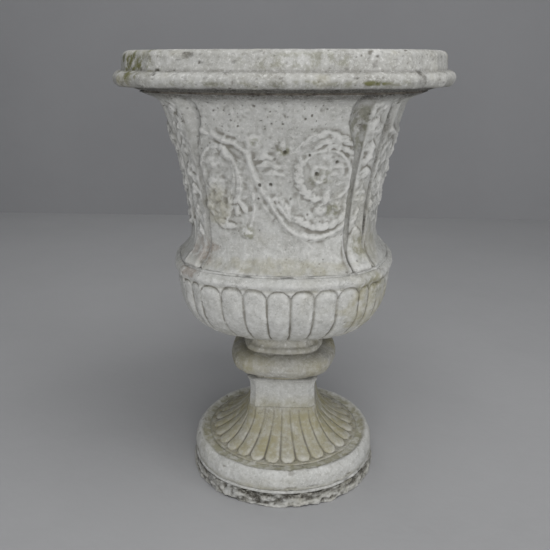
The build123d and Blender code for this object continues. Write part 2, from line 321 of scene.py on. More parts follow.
def leaf(u, v, points, width, height, lobes=3):
    """A leaf along its spine, with lobed edges and a sunk midrib."""
    distance, share = nearest(u, v, path(points))
    outline = np.sin(np.pi * np.clip(share, 0.02, 0.98)) ** 0.6
    notch = 1 - 0.28 * (0.5 + 0.5 * np.cos(2 * np.pi * (share * lobes - distance / width * 0.5)))
    reach = width * outline * notch
    body = dome(distance, np.maximum(reach, 0.1)) ** 0.8
    rib = np.exp(-(distance / (width * 0.13)) ** 2)
    return height * body * (1 - 0.45 * rib)


def ring(u, v, centre, radii, width, height):
    x, y = (u - centre[0]) / radii[0], (v - centre[1]) / radii[1]
    from_ring = (np.hypot(x, y) - 1) * min(radii)
    return height * dome(from_ring, width)


def bud(u, v, centre, radii, height):
    x, y = (u - centre[0]) / radii[0], (v - centre[1]) / radii[1]
    return height * dome(np.hypot(x, y), 1.0)


def cone(u, v, centre, radii, height, scale):
    """A seed head cut across by two sets of grooves."""
    x, y = u - centre[0], v - centre[1]
    grid = np.abs(np.sin(np.pi * (x + y) / scale)) * np.abs(np.sin(np.pi * (x - y) / scale))
    return bud(u, v, centre, radii, height) * (0.55 + 0.45 * grid ** 0.5)


def flower(u, v, centre, radius, petals, height):
    x, y = u - centre[0], v - centre[1]
    angle = np.arctan2(y, x)
    out = np.hypot(x, y)
    reach = radius * (0.62 + 0.38 * np.abs(np.cos(angle * petals / 2)))
    petal = dome(out, reach) ** 0.7 * (0.55 + 0.45 * np.abs(np.cos(angle * petals / 2)))
    heart = bud(u, v, centre, (radius * 0.28, radius * 0.28), 1.0)
    return height * np.maximum(petal, heart)


def feathers(u, v, points, length, width, height, lean, count):
    """Pointed leaflets set side by side along a line, each leaning by the given angle."""
    line = path(points)
    raised = np.zeros(u.shape)
    for share in np.linspace(0.04, 0.96, count):
        at = line[int(share * (len(line) - 1))]
        ahead = line[min(int(share * (len(line) - 1)) + 2, len(line) - 1)]
        heading = math.atan2(ahead[1] - at[1], ahead[0] - at[0]) + math.radians(lean)
        tip = (at[0] + length * math.cos(heading), at[1] + length * math.sin(heading))
        middle = ((at[0] + tip[0]) / 2 + 0.1 * length * math.sin(heading),
                  (at[1] + tip[1]) / 2 - 0.1 * length * math.cos(heading))
        raised = np.maximum(raised, leaf(u, v, [tuple(at), middle, tip], width, height, 1))
    return raised


def frieze(u, v):
    """Worn scrolling foliage on one face: u across, v above the bell's foot.

    Many of the stroke points are the output of a script that measured the photograph, some
    unchanged and some moved. That breaks this library's rule, and the report says so."""
    strokes = [
        (vine, [(-120, 222), (-111, 219), (-88, 210), (-62, 202), (-39, 190)], 6.5, 7.0),
        (vine, [(-39, 190), (-35, 168), (-22, 136), (-7, 112), (10, 81)], 6.0, 6.0),
        (vine, [(10, 81), (36, 60), (70, 58), (98, 70), (108, 92), (112, 118)], 6.5, 6.5),
        (vine, [(-71, 184), (-42, 168), (-28, 142), (-19, 111), (10, 72), (36, 55), (59, 38)],
         1.8, 2.6),
        (vine, [(-75, 190), (-58, 170), (-50, 136), (-58, 108)], 3.4, 5.0),
        (vine, [(-92, 196), (-68, 180), (-60, 146), (-70, 112)], 2.4, 4.0),
        (ring, (-85, 141), (31, 54), 2.6, 4.0),
        (ring, (-85, 141), (25, 46), 1.6, 2.0),
        (cone, (-91, 130), (16, 22), 7.5, 6.5),
        (bud, (-95, 171), (13, 10), 5.5),
        (bud, (-104, 101), (10, 9), 4.5),
        (bud, (-82, 98), (11, 10), 4.5),
        (bud, (-31, 201), (15, 13), 4.0),
        (bud, (12, 198), (6.5, 8), 5.0),
        (bud, (20, 194), (6, 7), 4.2),
        (bud, (9, 187), (6, 5), 4.2),
        (vine, [(12, 184), (29, 189), (42, 188), (51, 183)], 2.6, 3.4),
        (leaf, [(-30, 176), (-14, 182), (2, 176)], 5.5, 3.6, 2),
        (leaf, [(-26, 166), (-8, 170), (10, 164)], 5.5, 4.0, 2),
        (leaf, [(-16, 154), (-2, 158), (14, 152)], 5.0, 4.0, 2),
        (leaf, [(30, 192), (53, 208), (79, 214), (108, 207)], 6.5, 5.0, 5),
        (leaf, [(54, 190), (72, 204), (97, 204), (119, 196)], 6.5, 6.0, 5),
        (leaf, [(66, 186), (84, 197), (105, 190), (118, 182)], 6.0, 6.0, 4),
        (ring, (74, 152), (38, 38), 2.6, 4.6),
        (feathers, [(38, 184), (28, 168), (27, 148), (34, 130), (48, 116), (66, 107)],
         17, 6.5, 6.5, 58, 9),
        (vine, [(73, 164), (62, 166), (54, 158), (55, 148), (64, 143), (73, 146)], 3.4, 5.0),
        (vine, [(84, 166), (94, 166), (99, 158), (94, 151)], 3.4, 4.6),
        (vine, [(82, 146), (90, 139), (99, 142)], 3.0, 4.4),
        (flower, (77, 155), 13, 5, 4.5),
        (leaf, [(68, 108), (74, 120), (80, 131)], 8, 6.0, 1),
        (bud, (66, 99), (11, 9), 4.6),
        (leaf, [(78, 114), (88, 106), (96, 96)], 6.5, 4.4, 2),
        (ring, (3, 113), (8, 6), 2.6, 5.0),
        (leaf, [(0, 118), (12, 106), (22, 90), (30, 84)], 9, 6.0, 2),
        (feathers, [(20, 92), (40, 77), (66, 70), (92, 76), (106, 92)], 20, 7.0, 6.5, 28, 7),
        (leaf, [(-60, 116), (-59, 104), (-57, 88)], 6.5, 6.0, 1),
        (leaf, [(-64, 116), (-71, 98), (-74, 80)], 6.5, 5.5, 1),
        (leaf, [(-56, 118), (-48, 106), (-43, 92)], 6.0, 5.5, 1),
        (leaf, [(-96, 84), (-80, 74), (-58, 70)], 8, 4.6, 2),
        (vine, [(-33, 124), (-31, 104), (-34, 84), (-40, 68)], 3.4, 3.6, 0.3),
        (bud, (-43, 62), (11, 9), 3.6),
    ]
    raised = np.zeros(u.shape)
    for stroke, *values in strokes:
        raised = np.maximum(raised, stroke(u, v, *values))
    for tilt in range(-4, 5):
        spine = [(32 + tilt * 3.5, 6), (32 + tilt * 8, 26), (32 + tilt * 13, 46 - abs(tilt) * 3)]
        raised = np.maximum(raised, leaf(u, v, spine, 6.0, 1.8, 1))
    holes = np.zeros(u.shape)
    drilled = [(-22, 138, 3.4), (-6, 140, 3.0), (-25, 118, 2.0), (16, 188, 3.4), (51, 183, 2.4),
               (90, 172, 2.4), (60, 156, 3.4)]
    for x, y, radius in drilled:
        holes = np.maximum(holes, 1 - smoothstep(np.hypot(u - x, v - y), radius * 0.5, radius))
    return raised, holes


# ---- mesh making ----

def grid_points(loop, plan):
    """Vertices of a profile loop swept round a plan: rows follow the profile, columns the plan."""
    across = loop[:, 0][:, None]
    x = across * plan[..., 0]
    y = across * plan[..., 1]
    z = np.broadcast_to(loop[:, 1][:, None], x.shape)
    return np.stack([x, y, z], axis=-1)


def grid_normals(points):
    along = np.roll(points, -1, 1) - np.roll(points, 1, 1)
    up = np.roll(points, -1, 0) - np.roll(points, 1, 0)
    normals = np.cross(along, up)
    return normals / np.maximum(np.linalg.norm(normals, axis=-1, keepdims=True), 1e-9)


def closed_mesh(name, points, attributes):
    """A mesh from a grid that closes on itself both ways, with numbers stored at its vertices."""
    rows, columns = points.shape[:2]
    index = np.arange(rows * columns).reshape(rows, columns)
    right = np.roll(index, -1, 1)
    quads = np.stack([index, right, np.roll(right, -1, 0), np.roll(index, -1, 0)], axis=-1).reshape(-1, 4)
    mesh = bpy.data.meshes.new(name)
    mesh.vertices.add(rows * columns)
    mesh.vertices.foreach_set("co", (points * MM).astype(np.float32).ravel())
    mesh.loops.add(quads.size)
    mesh.loops.foreach_set("vertex_index", quads.astype(np.int32).ravel())
    mesh.polygons.add(len(quads))
    mesh.polygons.foreach_set("loop_start", np.arange(0, quads.size, 4, dtype=np.int32))
    mesh.polygons.foreach_set("use_smooth", np.ones(len(quads), dtype=bool))
    mesh.update()
    mesh.validate()
    for key, values in attributes.items():
        layer = mesh.attributes.new(key, "FLOAT", "POINT")
        layer.data.foreach_set("value", np.asarray(values, np.float32).ravel())
    thing = bpy.data.objects.new(name, mesh)
    bpy.context.scene.collection.objects.link(thing)
    return thing


# the dirt mark holds real dirt and also painted shade in grooves, creases, holes and under overhangs; the
# moss mark holds moss and also one painted shadow in a bell groove
MARKS = ("dirt_and_shade", "stain", "moss_and_shade", "bare")


def section(name, node, loop, plan, shape, material):
    """One worn section of the urn: swept, carved, weathered and put in place of its CAD node."""
    points = grid_points(loop, plan)
    normals = grid_normals(points)
    height, marks = shape(points)
    carved = points + normals * height[..., None]
    lowest = loop[:, 1].min()
    highest = loop[:, 1].max()
    carved[..., 2] = np.clip(carved[..., 2], lowest, highest)
    # cavity is high in hollows and low on ridges; the limewash paints shade in the hollows and a highlight
    # on the ridges from it
    hollow_shade = blurred(height, 3, 3) - height
    wide = blurred(height, 8, 8) - height
    attributes = {"cavity": np.clip(0.5 + hollow_shade * 0.40 + wide * 0.03, 0, 1)}
    for mark in MARKS:
        attributes[mark] = marks.get(mark, np.zeros(height.shape))
    thing = closed_mesh(name, carved, attributes)
    thing.data.materials.append(material)
    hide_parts(node)
    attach(thing, "root")
    return thing


def from_axis(points):
    return np.hypot(points[..., 0], points[..., 1])


def weathered(points, seed, rough=0.5, pitted=1.0):
    """Wear common to every section: soft lumps, fine grain and pits. Gives height and pit depth."""
    height = rough * fractal(points, 22, 3, seed)
    height = height + 0.22 * fractal(points, 4.5, 2, seed + 10)
    small = craters(points, 7.0, 1.7, 0.30 * pitted, seed + 20)
    large = craters(points, 19.0, 3.2, 0.22 * pitted, seed + 30)
    pits = np.maximum(small * 0.8, large)
    return height - 1.1 * pits, pits


def patch(points, centre, size, seed):
    """A soft ragged patch round a place on the urn, from 0 to 1."""
    gap = np.linalg.norm((points - np.asarray(centre)) / np.asarray(size), axis=-1)
    gap = gap + 0.35 * fractal(points, 14, 2, seed)
    return 1 - smoothstep(gap, 0.55, 1.05)


# ---- materials ----

def nodes_of(material):
    material.use_nodes = True
    tree = material.node_tree
    tree.nodes.clear()
    output = tree.nodes.new("ShaderNodeOutputMaterial")
    shader = tree.nodes.new("ShaderNodeBsdfPrincipled")
    tree.links.new(shader.outputs["BSDF"], output.inputs["Surface"])
    return tree, shader


def noise_value(tree, coordinates, scale, detail, low, high):
    """Noise stretched so that low becomes 0 and high becomes 1."""
    texture = tree.nodes.new("ShaderNodeTexNoise")
    texture.inputs["Scale"].default_value = scale
    texture.inputs["Detail"].default_value = detail
    texture.inputs["Roughness"].default_value = 0.62
    tree.links.new(coordinates, texture.inputs["Vector"])
    stretch = tree.nodes.new("ShaderNodeMapRange")
    stretch.inputs["From Min"].default_value = low
    stretch.inputs["From Max"].default_value = high
    tree.links.new(texture.outputs["Fac"], stretch.inputs["Value"])
    return stretch.outputs["Result"]


def attribute_value(tree, name):
    node = tree.nodes.new("ShaderNodeAttribute")
    node.attribute_name = name
    return node.outputs["Fac"]


def math_node(tree, operation, first, second):
    node = tree.nodes.new("ShaderNodeMath")
    node.operation = operation
    node.use_clamp = True
    for socket, value in zip(node.inputs, (first, second)):
        if isinstance(value, (int, float)):
            socket.default_value = value
        else:
            tree.links.new(value, socket)
    return node.outputs[0]


def ranged(tree, value, low, high, to_low=0.0, to_high=1.0):
    node = tree.nodes.new("ShaderNodeMapRange")
    node.interpolation_type = "SMOOTHSTEP"
    node.inputs["From Min"].default_value = low
    node.inputs["From Max"].default_value = high
    node.inputs["To Min"].default_value = to_low
    node.inputs["To Max"].default_value = to_high
    tree.links.new(value, node.inputs["Value"])
    return node.outputs["Result"]


def mixed(tree, share, first, second):
    node = tree.nodes.new("ShaderNodeMix")
    node.data_type = "RGBA"
    tree.links.new(share, node.inputs[0])
    for socket, colour in ((node.inputs[6], first), (node.inputs[7], second)):
        if isinstance(colour, tuple):
            socket.default_value = (*colour, 1)
        else:
            tree.links.new(colour, socket)
    return node.outputs[2]


def limewash(name, light, grey, tint):
    """Chalky limewash over terracotta, thin, with painted shade in the hollows and a painted highlight on
    the ridges, and marks of dirt, stain, moss and bare terracotta, some of them painted shade.
    """
    material = bpy.data.materials.new(name)
    tree, shader = nodes_of(material)
    place = tree.nodes.new("ShaderNodeTexCoord").outputs["Object"]
    cloudy = noise_value(tree, place, 16, 5, 0.34, 0.68)
    mottled = noise_value(tree, place, 85, 4, 0.35, 0.68)
    grain = noise_value(tree, place, 420, 3, 0.30, 0.72)
    speck = noise_value(tree, place, 520, 2, 0.64, 0.74)
    cavity = attribute_value(tree, "cavity")
    dirt_and_shade, stain, moss_and_shade, bare = [attribute_value(tree, mark) for mark in MARKS]

    def times(first, second):
        return math_node(tree, "MULTIPLY", first, second)

    colour = mixed(tree, cloudy, light, grey)
    colour = mixed(tree, times(mottled, 0.55), colour, tint)
    flecks = noise_value(tree, place, 240, 4, 0.52, 0.70)
    colour = mixed(tree, times(flecks, 0.50), colour, (0.74, 0.735, 0.71))
    scuffs = noise_value(tree, place, 150, 5, 0.56, 0.72)
    colour = mixed(tree, times(scuffs, 0.45), colour, (0.22, 0.212, 0.185))
    # painted highlight: the colour is lightened on the ridges that the cavity attribute marks
    ridge_highlight = ranged(tree, cavity, 0.50, 0.12)
    colour = mixed(tree, times(ridge_highlight, 0.60), colour, (0.70, 0.695, 0.67))
    stained = times(stain, ranged(tree, mottled, 0.0, 0.8, 0.55, 1.0))
    colour = mixed(tree, stained, colour, (0.335, 0.308, 0.195))
    # painted shade: the colour is darkened in the hollows that the cavity attribute marks
    hollow_shade = times(ranged(tree, cavity, 0.55, 1.0), ranged(tree, cloudy, 0.9, 0.1, 0.25, 0.8))
    colour = mixed(tree, hollow_shade, colour, (0.165, 0.153, 0.125))
    # the moss mark tints real moss and also one painted shadow in the bell's grooves
    moss_and_shade_share = times(moss_and_shade, ranged(tree, mottled, 0.15, 0.75))
    colour = mixed(tree, moss_and_shade_share, colour, (0.150, 0.150, 0.070))
    exposed = times(bare, ranged(tree, mottled, 0.1, 0.6))
    colour = mixed(tree, exposed, colour, (0.260, 0.190, 0.145))
    # the dirt mark darkens with real dirt and with painted shade in grooves, creases, holes and under
    # overhangs
    dirt_and_shade_share = times(dirt_and_shade, ranged(tree, grain, 0.0, 0.7, 0.5, 1.0))
    colour = mixed(tree, dirt_and_shade_share, colour, (0.052, 0.047, 0.038))
    colour = mixed(tree, times(speck, 0.35), colour, (0.10, 0.095, 0.08))
    winding = noise_value(tree, place, 44, 6, 0.0, 1.0)
    hairline = math_node(tree, "SUBTRACT", ranged(tree, winding, 0.485, 0.500),
                         ranged(tree, winding, 0.500, 0.515))
    hairline = times(hairline, ranged(tree, cloudy, 0.2, 0.9, 0.05, 0.50))
    colour = mixed(tree, hairline, colour, (0.19, 0.18, 0.15))
    tree.links.new(colour, shader.inputs["Base Color"])
    shader.inputs["Roughness"].default_value = 0.92
    shader.inputs["Specular IOR Level"].default_value = 0.22
    bump = tree.nodes.new("ShaderNodeBump")
    bump.inputs["Strength"].default_value = 0.35
    bump.inputs["Distance"].default_value = 0.0008
    tree.links.new(grain, bump.inputs["Height"])
    tree.links.new(bump.outputs["Normal"], shader.inputs["Normal"])
    return material


def mottled_material(name, first, second, scale, roughness, metallic=0.0):
    material = bpy.data.materials.new(name)
    tree, shader = nodes_of(material)
    place = tree.nodes.new("ShaderNodeTexCoord").outputs["Object"]
    blotch = noise_value(tree, place, scale, 6, 0.36, 0.66)
    grain = noise_value(tree, place, scale * 5, 3, 0.3, 0.7)
    colour = mixed(tree, blotch, first, second)
    tree.links.new(colour, shader.inputs["Base Color"])
    shader.inputs["Roughness"].default_value = roughness
    shader.inputs["Metallic"].default_value = metallic
    bump = tree.nodes.new("ShaderNodeBump")
    bump.inputs["Strength"].default_value = 0.5
    bump.inputs["Distance"].default_value = 0.001
    tree.links.new(grain, bump.inputs["Height"])
    tree.links.new(bump.outputs["Normal"], shader.inputs["Normal"])
    return material


upper_wash = limewash("limewash_upper", (0.60, 0.60, 0.58), (0.47, 0.47, 0.45), (0.37, 0.365, 0.335))
rim_wash = limewash("limewash_rim", (0.50, 0.498, 0.48), (0.37, 0.366, 0.345), (0.26, 0.254, 0.225))
lower_wash = limewash("limewash_lower", (0.51, 0.50, 0.465), (0.39, 0.38, 0.345), (0.29, 0.28, 0.24))
mortar = mottled_material("lime_mortar", (0.22, 0.20, 0.17), (0.07, 0.06, 0.05), 90, 0.95)
pale_mortar = mottled_material("pale_mortar", (0.48, 0.47, 0.44), (0.27, 0.26, 0.23), 90, 0.95)
rusty_steel = mottled_material("rusty_steel", (0.17, 0.075, 0.035), (0.23, 0.21, 0.19), 160, 0.7, 0.35)
floor_paint = mottled_material("floor_paint", (0.385, 0.385, 0.39), (0.37, 0.37, 0.375), 3, 0.85)
wall_paint = mottled_material("wall_paint", (0.30, 0.30, 0.308), (0.288, 0.288, 0.296), 2, 0.9)


# ---- sections ----

PLAIN_FACE_COLUMNS = FACE_COLUMNS + 10
PLAIN_CORNER_COLUMNS = QUARTER_COLUMNS - PLAIN_FACE_COLUMNS
PLAIN = plain_plan(FACE_HALF_WIDTH, FACE_BOW, PLAIN_FACE_COLUMNS, PLAIN_CORNER_COLUMNS)
ROUND = plain_plan(ROUND_HALF_WIDTH, ROUND_BOW, 128, 44)
KNOP_PLAN = plain_plan(KNOP_HALF_WIDTH, KNOP_BOW, 78, 24)
STEM_PLAN = plain_plan(STEM_HALF_WIDTH, STEM_BOW, 62, 14)
FINE = 1.4
COARSE = 5.0


def flat(start, end, height):
    return straight([(start, height), (end, height)], COARSE)


def upright(radius, start, end):
    return straight([(radius, start), (radius, end)], COARSE)


def make_rim():
    bottom, top, reach = extent("rim")
    torus = (reach - 11.5, bottom + 16.0)
    loop = joined(
        flat(200, 234, bottom),
        straight([(234, bottom), (reach - 17, torus[1] - 9.8)], FINE),
        arc(torus, 11.5, -62, 78, FINE),
        straight([(reach - 12.5, bottom + 27), (257, bottom + 29), (255, top - 10)], FINE),
        arc((245, top - 10), 10, 0, 90, FINE),
        straight([(245, top), (224, top)], 2.0),
        arc((224, top - 6), 6, 90, 180, 2.0),
        straight([(218, top - 6), (200, bottom)], COARSE),
    )

    def shape(points):
        z = points[..., 2]
        height, pits = weathered(points, 3, 0.55, 2.2)
        outside = smoothstep(from_axis(points), 236, 250)
        chips = smoothstep(fractal(points, 16, 3, 77), 0.75, 1.25)
        top_edge = smoothstep(z, top - 12, top - 3)
        foot_edge = smoothstep(z, bottom + 24, bottom + 29) * smoothstep(
            z, bottom + 36, bottom + 30)
        height = height - 2.6 * chips * outside * (top_edge + 0.6 * foot_edge)
        torus_chips = smoothstep(fractal(points, 11, 2, 91), 0.8, 1.3)
        on_torus = smoothstep(z, bottom + 27, bottom + 22) * outside
        height = height - 1.8 * torus_chips * on_torus
        # painted shade: darker on the rim's underside and in the crease above the torus
        rim_underside_shade = smoothstep(z, bottom + 9, bottom + 3)
        crease_shade = np.exp(-((z - bottom - 27.5) / 2.2) ** 2) * outside
        marks = {
            "dirt_and_shade": np.clip(
                0.85 * rim_underside_shade + 0.45 * crease_shade + 0.60 * pits + 0.5 * chips * outside
                + 0.7 * patch(points, (-116, -250, top - 6), (13, 24, 6), 16)
                + 0.7 * patch(points, (186, -225, bottom + 26), (7, 24, 6), 17)
                + 0.45 * smoothstep(fractal(points * np.array([1, 1, 2.5]), 9, 3, 18), 0.45, 1.1) * outside,
                0, 1),
            "moss_and_shade": np.clip(
                patch(points, (-215, -200, top - 18), (60, 60, 26), 5)
                + 0.4 * patch(points, (20, -250, bottom + 12), (230, 40, 5), 8)
                + 0.8 * patch(points, (126, -255, bottom + 13), (30, 30, 4), 9)
                + 0.3 * patch(points, (60, -260, top - 14), (120, 30, 14), 10), 0, 1),
            "stain": 0.5 * patch(points, (-225, -215, bottom + 14), (34, 40, 14), 12)
            + 0.25 * smoothstep(fractal(points, 30, 3, 15), 0.2, 1.0),
        }
        return height, marks

    return section("rim_coping", "rim", loop, PLAIN, shape, rim_wash)


BELL_TWIST = -0.04
HUSK_SPACING = 34.0


def make_bell():
    """The bell sits a little turned on the bowl."""
    bottom, top, _ = extent("bell")
    outer = smooth_curve(
        [(181, bottom), (169, bottom + 12), (162, bottom + 25), (160, bottom + 42), (162, bottom + 82),
         (167.5, bottom + 124), (176, bottom + 166), (187, bottom + 208), (199, bottom + 247),
         (209, bottom + 259), (231, top)],
        FINE)
    inner = smooth_curve(
        [(198, top), (174, bottom + 248), (161, bottom + 208), (150, bottom + 166), (141, bottom + 124),
         (136, bottom + 82), (134, bottom + 40), (138, bottom)], COARSE)
    loop = joined(outer, flat(231, 198, top), inner,
                  flat(138, 181, bottom))
    weight = np.zeros(len(loop))
    weight[:len(outer)] = 1
    weight = weight[:, None, None]
    cove = smoothstep(loop[:, 1], bottom + 176, bottom + 236)[:, None, None]
    narrow = strip_plan(BELL_FACE_HALF_WIDTH, GROOVE_DEPTH)[None]
    wide = strip_plan(BELL_TOP_FACE_HALF_WIDTH, GROOVE_DEPTH * 1.15)[None]
    plan = (narrow * (1 - cove) + wide * cove) * weight + PLAIN[None] * (1 - weight)
    plan = turned(plan, BELL_TWIST)
    across, strip_across, in_face, in_strip = bell_coordinates()

    def shape(points):
        height, pits = weathered(points, 40, 0.7, 1.3)
        outside = (np.arange(len(loop)) < len(outer))[:, None].astype(float)
        v = points[..., 2] - bottom
        half_width = BELL_FACE_HALF_WIDTH + (BELL_TOP_FACE_HALF_WIDTH - BELL_FACE_HALF_WIDTH) * cove[:, 0]
        u = across[None] * half_width * loop[:, 0][:, None]
        relief = np.zeros(height.shape)
        holes = np.zeros(height.shape)
        for quarter in range(4):
            columns = slice(quarter * QUARTER_COLUMNS, quarter * QUARTER_COLUMNS + FACE_COLUMNS)
            place = points[:len(outer), columns]
            drift_u = 1.6 * noise(place, 17, 50) + 0.7 * noise(place, 6, 51)
            drift_v = 1.6 * noise(place, 17, 52) + 0.7 * noise(place, 6, 53)
            carved, pierced = frieze(u[:len(outer), columns] + drift_u, v[:len(outer), columns] + drift_v)
            relief[:len(outer), columns] = carved
            holes[:len(outer), columns] = pierced
        zone = smoothstep(v, 62, 84) * (1 - smoothstep(v, 208, 222)) * in_face[None]
        clutter = 1 - np.abs(fractal(points, 12, 2, 55))
        relief = relief + 1.8 * zone * smoothstep(clutter, 0.45, 1.0) - 0.6 * zone
        worn = 0.95 + 0.35 * fractal(points, 30, 3, 60)
        relief = (0.5 * relief + 0.5 * blurred(relief, 1, 1)) * np.clip(worn, 0.40, 1.05) * 0.85
        relief = relief * np.clip(0.85 + 0.5 * fractal(points, 10, 2, 64), 0.35, 1.15)
        relief = relief - 0.9 * (relief > 1.0) * smoothstep(fractal(points, 6, 2, 61), 0.1, 0.9)
        sideways = np.abs(strip_across)[None]
        wander = v + 7 * noise(points, 26, 62) + 3 * noise(points, 9, 63)
        husk = (wander / HUSK_SPACING + 0.45 * sideways) % 1
        husks = (1 - 0.8 * sideways ** 2) * (1.0 + 5.0 * husk * smoothstep(husk, 1.0, 0.80))
        between = (wander / HUSK_SPACING + 0.15) % 1 - 0.5
        bead = np.exp(-(between / 0.20) ** 2) * np.exp(-(sideways / 0.40) ** 2)
        console = smoothstep(v, 58, 10) * smoothstep(v, -8, 5)
        chain = (husks + 2.8 * bead) * smoothstep(v, 40, 62) * (1 - smoothstep(v, 246, 264))
        ragged = np.clip(0.70 + 0.85 * fractal(points, 12, 3, 66), 0.05, 1.7)
        strips = in_strip[None] * (chain * ragged + 7.0 * console)
        groove_fill = (1 - in_face - in_strip)[None] * console * 4.0
        band = smoothstep(v, 212, 228)
        rough_band = -1.0 * band * smoothstep(fractal(points, 9, 3, 71), 0.0, 0.9)
        extra = craters(points, 7.0, 2.1, 0.85, 81) * band
        faint = 1.1 * noise(points * np.array([1, 1, 0.45]), 13, 58) * smoothstep(v, 76, 50)
        height = height + outside * (relief + strips + groove_fill + rough_band + faint
                                     - 3.5 * holes - 1.1 * extra)
        in_groove = (1 - in_face - in_strip)[None] * outside
        # painted shade: the bell's top just below the rim overhang is darkened
        shade_below_rim = smoothstep(v, 256, 267) * outside
        streaks = smoothstep(fractal(points * np.array([1, 1, 0.3]), 10, 3, 37), 0.25, 1.0)
        low_left = patch(points, (-125, -128, bottom + 26), (30, 30, 22), 21)
        marks = {
            # painted shade: the corner grooves are darkened, more on the right-hand grooves, and so are the
            # drill holes; the streaks are dirt
            "dirt_and_shade": np.clip(
                (0.14 + 0.34 * smoothstep(points[..., 0], 40, 110)) * in_groove * (0.6 + streaks)
                + 0.65 * shade_below_rim + 0.42 * pits + 0.8 * holes + 0.55 * extra
                + 0.14 * streaks * outside, 0, 1),
            "stain": np.clip(
                0.45 * patch(points, (-96, -150, bottom + 105), (26, 60, 34), 31)
                + 0.38 * patch(points, (0, -170, bottom + 12), (150, 40, 14), 33)
                + 0.30 * patch(points, (150, -110, bottom + 30), (40, 60, 30), 34)
                + 0.20 * smoothstep(fractal(points, 60, 3, 35), 0.15, 1.0), 0, 1),
            "moss_and_shade": np.clip(
                # painted shade: this olive patch in the upper right grooves stands for the shadow in the
                # cove
                0.45 * patch(points, (118, -150, bottom + 222), (34, 60, 44), 36) * in_groove
                + 0.6 * patch(points, (78, -152, bottom + 100), (14, 40, 12), 41)
                + 0.4 * patch(points, (122, -126, bottom + 34), (20, 30, 26), 43)
                + 0.3 * patch(points, (62, -165, bottom + 150), (22, 40, 16), 45)
                + 0.6 * patch(points, (-32, -184, bottom + 203), (13, 30, 9), 46)
                + 0.7 * patch(points, (6, -184, bottom + 192), (11, 30, 11), 47)
                + 0.6 * patch(points, (-50, -155, bottom + 63), (13, 30, 12), 48), 0, 1),
            "bare": 0.4 * low_left,
        }
        return height, marks

    return section("bell_body", "bell", loop, plan, shape, upper_wash)


def rounded_lobes(offset, along, half_width, depth, crown):
    """Height of a row of lobes with round ends: offset is -1 to 1 across a lobe, along is the
    distance below the tip of the round end, half_width the lobe's half width in millimetres."""
    sideways = np.abs(offset) * half_width
    from_end = np.hypot(sideways, np.maximum(half_width - along, 0))
    inside = half_width - np.where(along < half_width, from_end, sideways)
    groove = np.exp(-(inside / 1.3) ** 2)
    swell = np.sqrt(np.clip(1 - (1 - np.clip(inside / half_width, 0, 1)) ** 2, 0, 1))
    hump = crown * (swell - 1) * (inside > 0)
    return hump - depth * groove, groove


GADROONS_PER_FACE = 7
GADROONS_PER_CORNER = 2
CORNER_LENGTH = 0.233


